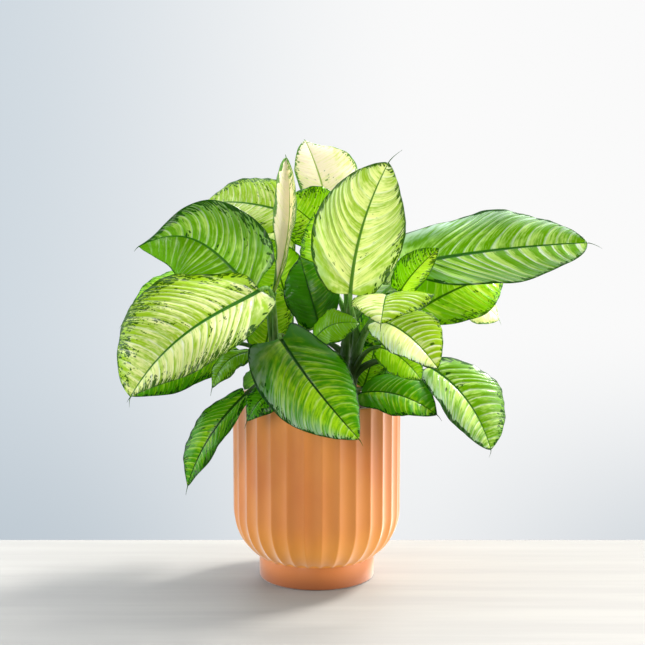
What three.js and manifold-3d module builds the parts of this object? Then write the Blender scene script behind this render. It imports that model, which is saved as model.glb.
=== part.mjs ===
// A potted dieffenbachia: a fluted planter on a round foot, its soil, five canes with their leaf stalks,
// and the leaf blades. Millimetres, +Z up, +X to the right and +Y away from the front.
// The origin is the centre of the foot's underside.

import * as THREE from 'three';
import { mergeVertices } from 'three/addons/utils/BufferGeometryUtils.js';
import Module from 'manifold-3d';

const wasm = await Module();
wasm.setup();

// Planter: a straight wall over a bowl of elliptical section, on a round foot. Flutes run from rim to foot.
const RIM_HEIGHT = 218;
const BODY_RADIUS = 100;
const WALL = 7;
const BOWL_TOP = 84;
const BOWL_HALF_WIDTH = 57;
const BOWL_HALF_HEIGHT = 64;
const BOWL_STEPS = 5;
const BOWL_CROWDING = 1.4;
const FOOT_HEIGHT = 27;
const FOOT_RADIUS = 69;
const FOOT_EDGE = 3;
const FLUTES = 31;
const FLUTE_DEPTH = 3;
const FLUTE_STEPS = 3;
const FIRST_ARRIS = THREE.MathUtils.degToRad(-90 + 3.67);
const FLOOR = 36;
const FLOOR_SHARE = 0.9;
const CAVITY_HEIGHTS = [48, 64];
const CAVITY_SIDES = 48;
const CUT_MARGIN = 10;

// Soil and canes
const SOIL_TOP = 200;
const SOIL_CROWN = 5;
const GAP = 0.3;
const ROOT_DEPTH = 60;
const CANE_RADIUS = 8;
const CANE_TOP_SHARE = 0.7;
const CANE_TAPER_START = 0.6;
const CANE_SIDES = 8;
const CANE_STEPS = 8;
const HOLE_SIDES = 16;
const HOLE_CLEARANCE = 0.8;

// Leaf stalks and blades
const STALK_SIDES = 5;
const STALK_STEPS = 5;
const HIGHEST_STALK = 0.99;
const STALK_TAPER = 1.25;
const STALK_FIRST_RISE = 14;
const STALK_HANDLES = [0.45, 0.32];
const STALK_END_GAP = 0.7;
const BLADE_THICKNESS = 1;
const MIDRIB_RELIEF = 1.6;
const BLADE_ROWS = 8;
const BLADE_COLUMNS = [-1, -0.58, -0.12, 0, 0.12, 0.58, 1];
const NECK_HALF_WIDTH = 2;
const NECK_FADE = 8;
const TIP_HALF_WIDTH = 0.6;
const LOBE_PEAK = 0.05;
const SIDE_PHASE = 1 / 3;
const SLOPE_STEP = 0.01;
const END_MARGIN = 0.001;

const COLOURS = {
  pot: 0xd98b52,
  soil: 0x3b2a20,
  stem: 0x8fb04a,
  light: 0xc2d66a,
  cream: 0xe3e3b0,
  bright: 0x8cc22f,
  mid: 0x4f9a2a,
  dark: 0x1f5f22,
};

// Canes: where each stands in the soil, where its top is, and how high that is.
const STEMS = {
  stem_left: { foot: [-36, -18], top: [-46, -30, 268] },
  stem_front: { foot: [-2, -40], top: [-6, -50, 256] },
  stem_right: { foot: [36, -20], top: [46, -30, 272] },
  stem_back_left: { foot: [-26, 34], top: [-34, 40, 300] },
  stem_back_right: { foot: [32, 34], top: [38, 38, 304] },
};

// What a blade has where its own entry says nothing else. Angles are in degrees, lengths in millimetres.
// arch bows the midrib towards the upper face and sweep to the right of it, most near the middle, or nearer
// the tip with a crest over 1. fold raises each half at the midrib, curl turns it down again towards the
// margin, and wave ripples the margins. peaks over 1 move a half's widest place towards the tip, larger
// shoulders narrow it towards the base and larger points towards the tip, and lobes carry it back past
// the base. Pairs are for the left half and the right.
const BLADE_DEFAULTS = {
  arch: 15,
  sweep: 0,
  crest: 1,
  fold: [14, 14],
  curl: [32, 32],
  twist: 0,
  wave: 2,
  waves: 2.5,
  phase: 0,
  lobes: [0.07, 0.07],
  peaks: [0.9, 0.9],
  points: [0.8, 0.8],
  shoulders: [0.55, 0.55],
  stalkRadii: [5, 2.4],
};

// Blades: base and tip of the midrib, the way the upper face looks, and the width of the left and right half
// as seen from above with the tip up. stem and height say where the stalk leaves its cane, from 0 to 1.
const LEAVES = {
  leaf_left_large: {
    stem: 'stem_left', height: 0.8, colour: 'light',
    base: [-64, -59, 351], tip: [-205, -122, 239], face: [-0.3, -0.9, 0.38], halves: [48, 77],
    arch: 34, crest: 1.3, peaks: [0.85, 0.95], points: [0.95, 0.4], lobes: [0.07, 0.05],
  },
  leaf_left_upper: {
    stem: 'stem_left', height: 1, colour: 'mid',
    base: [-70, -12, 347], tip: [-204, -36, 399], face: [-0.25, -0.95, 0.2], halves: [59, 60],
    arch: 18, sweep: 29, crest: 1.5, peaks: [1.05, 0.66], points: [0.65, 1.7], lobes: [0.05, 0.04],
  },
  leaf_left_under: {
    stem: 'stem_left', height: 0.5, colour: 'dark',
    base: [-98, -30, 285], tip: [-210, -78, 232], face: [-0.1, -0.8, 0.6], halves: [34, 44],
  },
  leaf_left_behind: {
    stem: 'stem_back_left', height: 0.7, colour: 'bright',
    base: [-98, 18, 354], tip: [-226, -12, 308], face: [-0.2, -0.7, 0.7], halves: [36, 40],
  },
  leaf_left_hanging: {
    stem: 'stem_left', height: 0.3, colour: 'dark',
    base: [-80, -75, 234], tip: [-146, -92, 131], face: [-0.5, -0.8, 0.35], halves: [17, 28],
    peaks: [0.9, 1],
  },
  leaf_left_small: {
    stem: 'stem_left', height: 0.4, colour: 'mid',
    base: [-74, -60, 280], tip: [-118, -82, 242], face: [-0.3, -0.6, 0.75], halves: [20, 15],
  },
  leaf_upper_left: {
    stem: 'stem_back_left', height: 1, colour: 'light',
    base: [-20, 28, 429], tip: [-142, 88, 440], face: [-0.1, -0.75, 0.65], halves: [42, 44],
    peaks: [0.85, 0.85],
  },
  leaf_rolled: {
    stem: 'stem_left', height: 1, colour: 'cream',
    base: [-50, -26, 344], tip: [-35, -14, 500], face: [-0.1, -0.97, 0.1], halves: [27, 16],
    fold: [62, 62], curl: [10, 10], arch: 4, sweep: 11, peaks: [1.5, 1.5], points: [0.6, 0.6], lobes: [0, 0],
    shoulders: [0.7, 0.7], wave: 1, stalkRadii: [5.5, 4],
  },
  leaf_top_back: {
    stem: 'stem_back_right', height: 1, colour: 'cream',
    base: [18, 54, 414], tip: [-14, 84, 519], face: [0.15, -0.9, 0.4], halves: [28, 52],
    arch: 16, wave: 3, peaks: [1.05, 1.05], points: [0.6, 1],
  },
  leaf_upper_middle: {
    stem: 'stem_back_right', height: 0.9, colour: 'bright',
    base: [14, 18, 403], tip: [-42, 18, 451], face: [-0.1, -0.88, 0.45], halves: [34, 44],
  },
  leaf_centre_sliver: {
    stem: 'stem_back_right', height: 0.8, colour: 'bright',
    base: [34, -4, 350], tip: [-2, -2, 434], face: [-0.2, -0.95, 0.2], halves: [34, 34],
  },
  leaf_centre: {
    stem: 'stem_right', height: 1, colour: 'light',
    base: [39, -50, 345], tip: [81, -63, 495], face: [-0.05, -0.98, 0.15], halves: [55, 50],
    arch: 6, sweep: -8, peaks: [0.84, 0.84], points: [0.7, 0.7], lobes: [0.04, 0.04],
  },
  leaf_near: {
    stem: 'stem_right', height: 0.9, colour: 'light',
    base: [81, -70, 345], tip: [70, -150, 324], face: [0, -0.5, 0.87], halves: [54, 38],
    arch: 12, fold: [24, 6],
  },
  leaf_right_middle: {
    stem: 'stem_right', height: 0.8, colour: 'light',
    base: [71, -62, 316], tip: [134, -124, 271], face: [0.1, -0.75, 0.65], halves: [39, 33],
    fold: [22, 22],
  },
  leaf_right_low: {
    stem: 'stem_right', height: 0.3, colour: 'mid',
    base: [130, -58, 262], tip: [197, -96, 174], face: [0.32, -0.76, 0.56], halves: [50, 33],
    arch: 20, peaks: [1, 0.95], points: [0.6, 0.7], shoulders: [0.5, 0.5], lobes: [0.12, 0.08],
  },
  leaf_right_long: {
    stem: 'stem_back_right', height: 0.7, colour: 'mid',
    base: [104, 14, 373], tip: [316, -10, 401], face: [0, -0.78, 0.62], halves: [57, 47],
    arch: 8, wave: 4, waves: 2.2, peaks: [0.9, 1], points: [0.7, 0.5], lobes: [0.24, 0.03],
    shoulders: [0.42, 0.7],
  },
  leaf_right_folded: {
    stem: 'stem_right', height: 1, colour: 'bright',
    base: [97, -22, 344], tip: [140, -42, 397], face: [-0.1, -0.9, 0.3], halves: [22, 17],
    fold: [24, 30],
  },
  leaf_right_under: {
    stem: 'stem_back_right', height: 0.5, colour: 'bright',
    base: [123, 20, 319], tip: [227, 52, 357], face: [0.1, -0.8, 0.6], halves: [48, 44],
  },
  leaf_right_pale: {
    stem: 'stem_back_right', height: 0.4, colour: 'cream',
    base: [150, 66, 332], tip: [226, 84, 299], face: [0, -0.7, 0.7], halves: [30, 32],
  },
  leaf_middle_dark: {
    stem: 'stem_front', height: 0.9, colour: 'dark',
    base: [3, -34, 308], tip: [-19, -20, 384], face: [0, -0.99, 0.12], halves: [30, 34],
  },
  leaf_middle_small: {
    stem: 'stem_front', height: 0.6, colour: 'mid',
    base: [-2, -66, 295], tip: [49, -72, 314], face: [0, -0.7, 0.7], halves: [22, 24],
  },
  leaf_front: {
    stem: 'stem_front', height: 0.8, colour: 'dark',
    base: [-40, -92, 300], tip: [47, -134, 194], face: [0.1, -0.85, 0.5], halves: [46, 55],
    arch: 12, sweep: 7, peaks: [0.84, 0.66], lobes: [0.14, 0.1],
  },
  leaf_rim_left: {
    stem: 'stem_front', height: 0.2, colour: 'dark',
    base: [-36, -78, 240], tip: [-77, -112, 210], face: [-0.2, -0.7, 0.7], halves: [24, 18],
  },
  leaf_rim_right: {
    stem: 'stem_right', height: 0.2, colour: 'dark',
    base: [50, -62, 232], tip: [135, -102, 215], face: [0, -0.6, 0.8], halves: [42, 30],
  },
  leaf_shade_right: {
    stem: 'stem_right', height: 0.1, colour: 'dark',
    base: [56, 14, 226], tip: [72, 22, 286], face: [0.1, -0.95, 0.3], halves: [22, 20],
    lobes: [0, 0],
  },
  leaf_inner_dark: {
    stem: 'stem_right', height: 0.6, colour: 'dark',
    base: [52, -6, 288], tip: [90, 14, 308], face: [0.1, -0.8, 0.6], halves: [24, 24],
    arch: 6,
  },
  leaf_inner_bright: {
    stem: 'stem_right', height: 0.3, colour: 'bright',
    base: [72, -66, 286], tip: [118, -88, 252], face: [0.1, -0.85, 0.5], halves: [24, 22],
  },
  leaf_middle_bright: {
    stem: 'stem_back_left', height: 0.8, colour: 'bright',
    base: [-30, 24, 312], tip: [-58, 30, 404], face: [0, -0.97, 0.2], halves: [34, 34],
  },
  leaf_middle_low: {
    stem: 'stem_back_left', height: 0.3, colour: 'bright',
    base: [-62, 6, 272], tip: [-48, 9, 352], face: [0.1, -0.98, 0.1], halves: [32, 26],
  },
  leaf_far_centre: {
    stem: 'stem_back_right', height: 0.8, colour: 'light',
    base: [14, 84, 352], tip: [4, 222, 322], face: [0, 0.2, 1], halves: [50, 50],
    arch: 26,
  },
  leaf_far_left: {
    stem: 'stem_back_left', height: 0.5, colour: 'mid',
    base: [-46, 72, 332], tip: [-92, 186, 282], face: [-0.2, 0.5, 0.85], halves: [46, 46],
    arch: 24,
  },
  leaf_far_right: {
    stem: 'stem_back_right', height: 0.3, colour: 'mid',
    base: [62, 76, 332], tip: [100, 196, 290], face: [0.2, 0.5, 0.85], halves: [46, 46],
    arch: 24,
  },
  leaf_far_high: {
    stem: 'stem_back_right', height: 1, colour: 'light',
    base: [36, 66, 404], tip: [56, 176, 452], face: [0.1, -0.4, 0.9], halves: [44, 44],
    arch: 22,
  },
  leaf_far_high_left: {
    stem: 'stem_back_left', height: 0.9, colour: 'light',
    base: [-46, 66, 372], tip: [-96, 168, 398], face: [-0.1, -0.3, 0.95], halves: [42, 42],
    arch: 24,
  },
  leaf_far_rim_left: {
    stem: 'stem_back_left', height: 0.2, colour: 'dark',
    base: [-44, 84, 250], tip: [-76, 150, 172], face: [-0.3, 0.85, 0.45], halves: [32, 32],
    arch: 12,
  },
  leaf_far_rim_right: {
    stem: 'stem_back_right', height: 0.1, colour: 'dark',
    base: [42, 88, 256], tip: [72, 156, 178], face: [0.3, 0.85, 0.45], halves: [34, 34],
    arch: 12,
  },
  leaf_side_left: {
    stem: 'stem_back_left', height: 0.6, colour: 'mid',
    base: [-78, 52, 338], tip: [-182, 108, 352], face: [-0.3, 0, 0.95], halves: [40, 40],
    arch: 20,
  },
  leaf_side_right: {
    stem: 'stem_back_right', height: 0.6, colour: 'light',
    base: [92, 66, 344], tip: [206, 132, 372], face: [0.2, 0, 0.95], halves: [42, 42],
    arch: 20,
  },
  leaf_inner_back: {
    stem: 'stem_back_right', height: 0.4, colour: 'mid',
    base: [-2, 54, 290], tip: [-4, 60, 382], face: [0, -0.97, 0.2], halves: [30, 24],
    arch: 8,
  },
};

const blades = Object.fromEntries(
  Object.entries(LEAVES).map(([name, leaf]) => [name, { ...BLADE_DEFAULTS, ...leaf }]),
);

const vector = ([x, y, z]) => new THREE.Vector3(x, y, z);

// A closed triangle mesh from its points and its faces' corner numbers.
function meshGeometry(points, faces) {
  const geometry = new THREE.BufferGeometry();
  const positions = points.flatMap((point) => [point.x, point.y, point.z]);
  geometry.setAttribute('position', new THREE.Float32BufferAttribute(positions, 3));
  geometry.setIndex(faces.flat());
  return geometry;
}

// A closed body through a row of rings of points, each ring running the same way, with a fan over each end.
function lofted(rings) {
  const sides = rings[0].length;
  const points = rings.flat();
  const faces = [];
  for (let ring = 0; ring + 1 < rings.length; ring += 1) {
    for (let side = 0; side < sides; side += 1) {
      const here = ring * sides + side;
      const beside = ring * sides + (side + 1) % sides;
      faces.push([here, beside, beside + sides], [here, beside + sides, here + sides]);
    }
  }
  const capped = [[rings[0], 0, true], [rings.at(-1), (rings.length - 1) * sides, false]];
  for (const [ring, first, start] of capped) {
    const centre = new THREE.Vector3();
    ring.forEach((point) => centre.addScaledVector(point, 1 / sides));
    points.push(centre);
    for (let side = 0; side < sides; side += 1) {
      const here = first + side;
      const beside = first + (side + 1) % sides;
      faces.push(start ? [points.length - 1, beside, here] : [points.length - 1, here, beside]);
    }
  }
  return meshGeometry(points, faces);
}

// A round tube along a curve, its radius given by a function of the share of the way along.
function tube(curve, radiusAt, sides, steps) {
  const frames = curve.computeFrenetFrames(steps, false);
  const rings = [];
  for (let step = 0; step <= steps; step += 1) {
    const share = step / steps;
    const centre = curve.getPointAt(share);
    const radius = radiusAt(share);
    const ring = [];
    for (let side = 0; side < sides; side += 1) {
      const angle = (2 * Math.PI * side) / sides;
      ring.push(centre.clone()
        .addScaledVector(frames.normals[step], radius * Math.cos(angle))
        .addScaledVector(frames.binormals[step], radius * Math.sin(angle)));
    }
    rings.push(ring);
  }
  return lofted(rings);
}

function solid(geometry) {
  const bare = geometry.clone();
  bare.deleteAttribute('normal');
  bare.deleteAttribute('uv');
  const merged = mergeVertices(bare, 1e-4);
  return new wasm.Manifold(new wasm.Mesh({
    numProp: 3,
    vertProperties: new Float32Array(merged.attributes.position.array),
    triVerts: new Uint32Array(merged.index.array),
  }));
}

function geometryOf(manifold) {
  const { vertProperties, triVerts } = manifold.getMesh();
  const geometry = new THREE.BufferGeometry();
  geometry.setAttribute('position', new THREE.BufferAttribute(vertProperties, 3));
  geometry.setIndex(new THREE.BufferAttribute(triVerts, 1));
  return geometry;
}

// A lathe's axis turned from three.js's Y to Z.
function turned(profile, sides) {
  const points = profile.map(([radius, height]) => new THREE.Vector2(radius, height));
  return new THREE.LatheGeometry(points, sides).rotateX(Math.PI / 2);
}

// Radius of the bowl's quarter-ellipse at a height between the foot and the straight wall.
function bowlRadius(height, inset = 0) {
  const drop = (BOWL_TOP - height) / (BOWL_HALF_HEIGHT - inset);
  return BODY_RADIUS - BOWL_HALF_WIDTH + (BOWL_HALF_WIDTH - inset) * Math.sqrt(1 - drop * drop);
}

// Heights and radii of the planter's outside, from the foot up, and how deep the flutes are there.
function planterLevels() {
  const levels = [
    { height: 0, radius: FOOT_RADIUS - FOOT_EDGE, flute: 0 },
    { height: FOOT_EDGE, radius: FOOT_RADIUS, flute: 0 },
    { height: FOOT_HEIGHT, radius: FOOT_RADIUS, flute: 0 },
  ];
  for (let step = 0; step <= BOWL_STEPS; step += 1) {
    const rise = 1 - (1 - step / BOWL_STEPS) ** BOWL_CROWDING;
    const height = FOOT_HEIGHT + (BOWL_TOP - FOOT_HEIGHT) * rise;
    levels.push({ height, radius: bowlRadius(height), flute: FLUTE_DEPTH });
  }
  levels.push({ height: RIM_HEIGHT, radius: BODY_RADIUS, flute: FLUTE_DEPTH });
  return levels;
}

function planterRing({ height, radius, flute }) {
  const ring = [];
  for (let column = 0; column < FLUTES * FLUTE_STEPS; column += 1) {
    const share = (column % FLUTE_STEPS) / FLUTE_STEPS;
    const angle = FIRST_ARRIS + (2 * Math.PI * column) / (FLUTES * FLUTE_STEPS);
    const hollow = radius - flute * 4 * share * (1 - share);
    ring.push(new THREE.Vector3(hollow * Math.cos(angle), hollow * Math.sin(angle), height));
  }
  return ring;
}

// The hollow inside the planter, or the soil that fills it, held off the wall by a gap.
function cavityProfile(gap, top, crown) {
  const inset = WALL + gap;
  return [
    [0, FLOOR + gap],
    [bowlRadius(FLOOR, inset) * FLOOR_SHARE, FLOOR + gap],
    ...CAVITY_HEIGHTS.map((height) => [bowlRadius(height, inset), height + gap]),
    [BODY_RADIUS - inset, BOWL_TOP],
    [BODY_RADIUS - inset, top],
    [0, top + crown],
  ];
}

function planter() {
  const outside = solid(lofted(planterLevels().map(planterRing)));
  const hollow = solid(turned(cavityProfile(0, RIM_HEIGHT + CUT_MARGIN, 0), CAVITY_SIDES));
  return geometryOf(outside.subtract(hollow));
}

function soil() {
  let body = solid(turned(cavityProfile(GAP, SOIL_TOP, SOIL_CROWN), CAVITY_SIDES));
  const depth = ROOT_DEPTH + GAP + SOIL_CROWN + CUT_MARGIN;
  const radius = CANE_RADIUS + HOLE_CLEARANCE;
  for (const { foot: [x, y] } of Object.values(STEMS)) {
    const hole = new THREE.CylinderGeometry(radius, radius, depth, HOLE_SIDES);
    hole.rotateX(Math.PI / 2);
    hole.translate(x, y, SOIL_TOP - ROOT_DEPTH - GAP + depth / 2);
    body = body.subtract(solid(hole));
  }
  return geometryOf(body);
}

// The line of a cane: straight up out of the soil, then leaning to its top.
function caneCurve({ foot: [x, y], top }) {
  return new THREE.CatmullRomCurve3([
    new THREE.Vector3(x, y, SOIL_TOP - ROOT_DEPTH),
    new THREE.Vector3(x, y, SOIL_TOP - ROOT_DEPTH / 2),
    new THREE.Vector3(x, y, SOIL_TOP + SOIL_CROWN),
    new THREE.Vector3(...top),
  ], false, 'centripetal');
}

// A blade's own axes: along the midrib's chord, out of the upper face, and to the right side.
function bladeAxes(leaf) {
  const base = vector(leaf.base);
  const along = vector(leaf.tip).sub(base);
  const length = along.length();
  along.normalize();
  const face = vector(leaf.face);
  face.addScaledVector(along, -face.dot(along)).normalize();
  return { base, length, along, face, right: along.clone().cross(face) };
}

function midribPoint(leaf, axes, u) {
  const crested = u ** leaf.crest;
  const bow = 4 * crested * (1 - crested);
  return axes.base.clone()
    .addScaledVector(axes.along, axes.length * u)
    .addScaledVector(axes.face, leaf.arch * bow)
    .addScaledVector(axes.right, leaf.sweep * bow);
}

function midribDirection(leaf, axes, u) {
  const slope = 4 * leaf.crest * u ** (leaf.crest - 1) * (1 - 2 * u ** leaf.crest);
  return axes.along.clone().multiplyScalar(axes.length)
    .addScaledVector(axes.face, leaf.arch * slope)
    .addScaledVector(axes.right, leaf.sweep * slope)
    .normalize();
}

// Share of the full half width at u along the blade: round at the base, drawn in at the tip.
function outline(leaf, side, u) {
  const arc = Math.sin(Math.PI * u ** leaf.peaks[side]);
  const towardsTip = THREE.MathUtils.smoothstep(u, 0.5, 1);
  const power = THREE.MathUtils.lerp(leaf.shoulders[side], leaf.points[side], towardsTip);
  return Math.max(arc, 0) ** power;
}

// A point of the blade's middle surface: u runs from base to tip, v from -1 at the left margin to 1 at the
// right.
function bladePoint(leaf, axes, u, v) {
  const side = v < 0 ? 0 : 1;
  const across = Math.abs(v);
  const direction = midribDirection(leaf, axes, u);
  const normal = axes.face.clone().addScaledVector(direction, -axes.face.dot(direction)).normalize();
  const right = direction.clone().cross(normal);
  const twist = THREE.MathUtils.degToRad(leaf.twist) * (u - 0.5);
  const turnedRight = right.clone().multiplyScalar(Math.cos(twist)).addScaledVector(normal, Math.sin(twist));
  const turnedNormal = normal.multiplyScalar(Math.cos(twist)).addScaledVector(right, -Math.sin(twist));

  const neck = NECK_HALF_WIDTH * (1 - u) ** NECK_FADE;
  const half = leaf.halves[side] * outline(leaf, side, u) + neck + TIP_HALF_WIDTH;
  const fold = THREE.MathUtils.degToRad(leaf.fold[side]);
  const curl = THREE.MathUtils.degToRad(leaf.curl[side]);
  const reach = (half * (Math.sin(fold) - Math.sin(fold - curl * across))) / curl;
  const rise = (half * (Math.cos(fold - curl * across) - Math.cos(fold))) / curl;
  const ripple = leaf.wave * across ** 2 * Math.sqrt(Math.max(Math.sin(Math.PI * u), 0))
    * Math.sin(2 * Math.PI * (leaf.waves * u + leaf.phase + side * SIDE_PHASE));
  const behind = u / LOBE_PEAK;
  const lobe = leaf.lobes[side] * axes.length * across ** 2 * behind * Math.exp(1 - behind);

  return midribPoint(leaf, axes, u)
    .addScaledVector(turnedRight, side === 0 ? -reach : reach)
    .addScaledVector(turnedNormal, rise + ripple)
    .addScaledVector(direction, -lobe);
}

// Faces of a thin slab from two like grids of points, the upper one first, and of the edge all round it.
function slabFaces(rows, columns) {
  const top = (row, column) => row * columns + column;
  const under = (row, column) => rows * columns + top(row, column);
  const faces = [];
  const edge = (from, to) => {
    faces.push([top(...from), under(...from), under(...to)], [top(...from), under(...to), top(...to)]);
  };
  for (let row = 0; row + 1 < rows; row += 1) {
    for (let column = 0; column + 1 < columns; column += 1) {
      const corners = [[row, column], [row, column + 1], [row + 1, column + 1], [row + 1, column]];
      const [a, b, c, d] = corners.map((corner) => top(...corner));
      const [e, f, g, h] = corners.map((corner) => under(...corner));
      faces.push([a, b, c], [a, c, d], [e, g, f], [e, h, g]);
    }
    edge([row + 1, 0], [row, 0]);
    edge([row, columns - 1], [row + 1, columns - 1]);
  }
  for (let column = 0; column + 1 < columns; column += 1) {
    edge([0, column], [0, column + 1]);
    edge([rows - 1, column + 1], [rows - 1, column]);
  }
  return faces;
}

function bladeNormal(leaf, axes, u, v) {
  const before = Math.max(u - SLOPE_STEP, END_MARGIN);
  const after = Math.min(u + SLOPE_STEP, 1 - END_MARGIN);
  const lengthwise = bladePoint(leaf, axes, after, v).sub(bladePoint(leaf, axes, before, v));
  const crosswise = bladePoint(leaf, axes, u, Math.min(v + SLOPE_STEP, 1))
    .sub(bladePoint(leaf, axes, u, Math.max(v - SLOPE_STEP, -1)));
  return crosswise.cross(lengthwise).normalize();
}

// A blade as a thin closed body: its middle surface moved out to both faces, with the midrib raised below.
function blade(leaf) {
  const axes = bladeAxes(leaf);
  const columns = BLADE_COLUMNS.length;
  const upper = [];
  const lower = [];
  for (let row = 0; row <= BLADE_ROWS; row += 1) {
    const u = (1 - Math.cos((Math.PI * row) / BLADE_ROWS)) / 2;
    for (const v of BLADE_COLUMNS) {
      const normal = bladeNormal(leaf, axes, u, v);
      const point = bladePoint(leaf, axes, u, v);
      const rib = v === 0 ? MIDRIB_RELIEF * (1 - u) : 0;
      upper.push(point.clone().addScaledVector(normal, BLADE_THICKNESS / 2));
      lower.push(point.clone().addScaledVector(normal, -BLADE_THICKNESS / 2 - rib));
    }
  }
  return meshGeometry([...upper, ...lower], slabFaces(BLADE_ROWS + 1, columns));
}

// A leaf's stalk, from inside its cane to just short of the blade, which it meets in the midrib's direction.
function stalk(leaf, cane) {
  const axes = bladeAxes(leaf);
  const above = (STALK_FIRST_RISE + ROOT_DEPTH) / cane.getLength();
  const share = Math.min(above + (1 - above) * leaf.height, HIGHEST_STALK);
  const start = cane.getPointAt(share);
  const up = cane.getTangentAt(share);
  const into = midribDirection(leaf, axes, 0);
  const end = axes.base.clone().addScaledVector(into, -STALK_END_GAP);
  const reach = end.distanceTo(start);
  const curve = new THREE.CubicBezierCurve3(
    start,
    start.clone().addScaledVector(up, reach * STALK_HANDLES[0]),
    end.clone().addScaledVector(into, -reach * STALK_HANDLES[1]),
    end,
  );
  const radiusAt = (u) => THREE.MathUtils.lerp(...leaf.stalkRadii, Math.min(STALK_TAPER * u, 1));
  return tube(curve, radiusAt, STALK_SIDES, STALK_STEPS);
}

function stem(name) {
  const cane = caneCurve(STEMS[name]);
  const radiusAt = (u) => {
    const taper = Math.max(u - CANE_TAPER_START, 0) / (1 - CANE_TAPER_START);
    return THREE.MathUtils.lerp(CANE_RADIUS, CANE_RADIUS * CANE_TOP_SHARE, taper);
  };
  let body = solid(tube(cane, radiusAt, CANE_SIDES, CANE_STEPS));
  for (const leaf of Object.values(blades)) {
    if (leaf.stem === name) body = body.add(solid(stalk(leaf, cane)));
  }
  return geometryOf(body);
}

const plant = new THREE.Group();

function addPiece(name, geometry, colour, roughness) {
  geometry.computeVertexNormals();
  const material = new THREE.MeshStandardMaterial({ color: colour, roughness, metalness: 0 });
  const piece = new THREE.Mesh(geometry, material);
  piece.name = name;
  plant.add(piece);
}

addPiece('pot', planter(), COLOURS.pot, 0.8);
addPiece('soil', soil(), COLOURS.soil, 1);
for (const name of Object.keys(STEMS)) addPiece(name, stem(name), COLOURS.stem, 0.5);
for (const [name, leaf] of Object.entries(blades)) addPiece(name, blade(leaf), COLOURS[leaf.colour], 0.35);

export default plant;
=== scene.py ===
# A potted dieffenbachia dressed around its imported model: a fluted terracotta planter on a round foot, its
# soil, five canes, and leaves with stalks, veins, flecked margins and drip tips.
# Lengths are millimetres until a mesh is made in metres. +Z is up, +X to the right, +Y away from the camera.

import math

import bpy
import numpy as np
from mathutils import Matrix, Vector


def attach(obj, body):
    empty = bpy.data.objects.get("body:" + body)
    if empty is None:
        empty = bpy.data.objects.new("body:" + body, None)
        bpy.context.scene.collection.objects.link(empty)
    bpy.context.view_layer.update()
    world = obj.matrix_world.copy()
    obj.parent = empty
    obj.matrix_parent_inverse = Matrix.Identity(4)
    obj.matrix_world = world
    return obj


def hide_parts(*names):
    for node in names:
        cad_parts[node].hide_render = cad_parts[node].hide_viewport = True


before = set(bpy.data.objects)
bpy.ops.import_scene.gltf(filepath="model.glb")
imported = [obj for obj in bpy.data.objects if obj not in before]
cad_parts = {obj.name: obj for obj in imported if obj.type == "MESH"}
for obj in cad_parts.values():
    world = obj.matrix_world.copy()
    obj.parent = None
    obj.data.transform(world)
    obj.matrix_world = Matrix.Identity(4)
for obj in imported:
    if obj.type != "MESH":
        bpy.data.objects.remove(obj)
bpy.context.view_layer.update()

METRES = 0.001

# Camera: its place, how far it looks down, in degrees, and its lens
CAMERA_PLACE = (7, -1686, 525)
CAMERA_PITCH = 7.4
CAMERA_LENS = 80.2
SENSOR_WIDTH = 36

# Planter: a straight wall over a bowl of elliptical section, on a round foot. Flutes run from rim to foot.
RIM_HEIGHT = 218
BODY_RADIUS = 100
WALL = 7
RIM_ROUNDING = 1.4
BOWL_TOP = 84
BOWL_HALF_WIDTH = 57
BOWL_HALF_HEIGHT = 64
FOOT_HEIGHT = 27
FOOT_RADIUS = 69
FOOT_ROUNDING = 2.5
FLUTES = 31
FLUTE_DEPTH = 3
FIRST_ARRIS = math.radians(-90 + 3.67)

# Soil and canes
SOIL_TOP = 200
SOIL_CROWN = 5
GAP = 0.3
ROOT_DEPTH = 60
CANE_RADIUS = 8
CANE_TOP_SHARE = 0.7
CANE_TAPER_START = 0.6

# Leaf stalks and blades
HIGHEST_STALK = 0.99
STALK_TAPER = 1.25
STALK_FIRST_RISE = 14
STALK_HANDLES = (0.45, 0.32)
NECK_HALF_WIDTH = 2
NECK_FADE = 8
TIP_HALF_WIDTH = 0.6
LOBE_PEAK = 0.05
SIDE_PHASE = 1 / 3
SLOPE_STEP = 0.004
END_MARGIN = 0.001

# Canes: where each stands in the soil, where its top is, and how high that is.
STEMS = {
    "left": dict(foot=(-36, -18), top=(-46, -30, 268)),
    "front": dict(foot=(-2, -40), top=(-6, -50, 256)),
    "right": dict(foot=(36, -20), top=(46, -30, 272)),
    "back_left": dict(foot=(-26, 34), top=(-34, 40, 300)),
    "back_right": dict(foot=(32, 34), top=(38, 38, 304)),
}

# What a blade has where its own entry says nothing else. Angles are in degrees, lengths in millimetres.
# arch bows the midrib towards the upper face and sweep to the right of it, most near the middle, or nearer
# the tip with a crest over 1. fold raises each half at the midrib, curl turns it down again towards the
# margin, and wave ripples the margins. peaks over 1 move a half's widest place towards the tip, larger
# shoulders narrow it towards the base and larger points towards the tip, and lobes carry it back past
# the base. veins is how many each half has, lean how far they run towards the tip, quilt how high the blade
# rises between them, tail the drip tip's length and hook the way it bends. pale and flecks are how far each
# half is pale and flecked, banding and lines how strongly its veins show, the bands being partly painted
# light and shade, border how wide its green margin is, and its painted sheen, a painted reflection, how far
# it is silvered towards the margin. shade is painted shade that darkens base and tip. A pair is for the left
# half and the right, or with shade for base and tip, and one number for both.
BLADE_DEFAULTS = dict(
    arch=15, sweep=0, crest=1, fold=14, curl=32, wave=2, waves=2.5, lobes=0.07, peaks=0.9, points=0.8,
    shoulders=0.55, stalk_radii=(5, 2.4), veins=17, lean=0.36, quilt=1.0, tail=7, hook=(0, 0, -3),
    pale=0.5, flecks=0.2, shade=0.15, banding=0.5, lines=0.5, border=1, bloom=0,
)
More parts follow.
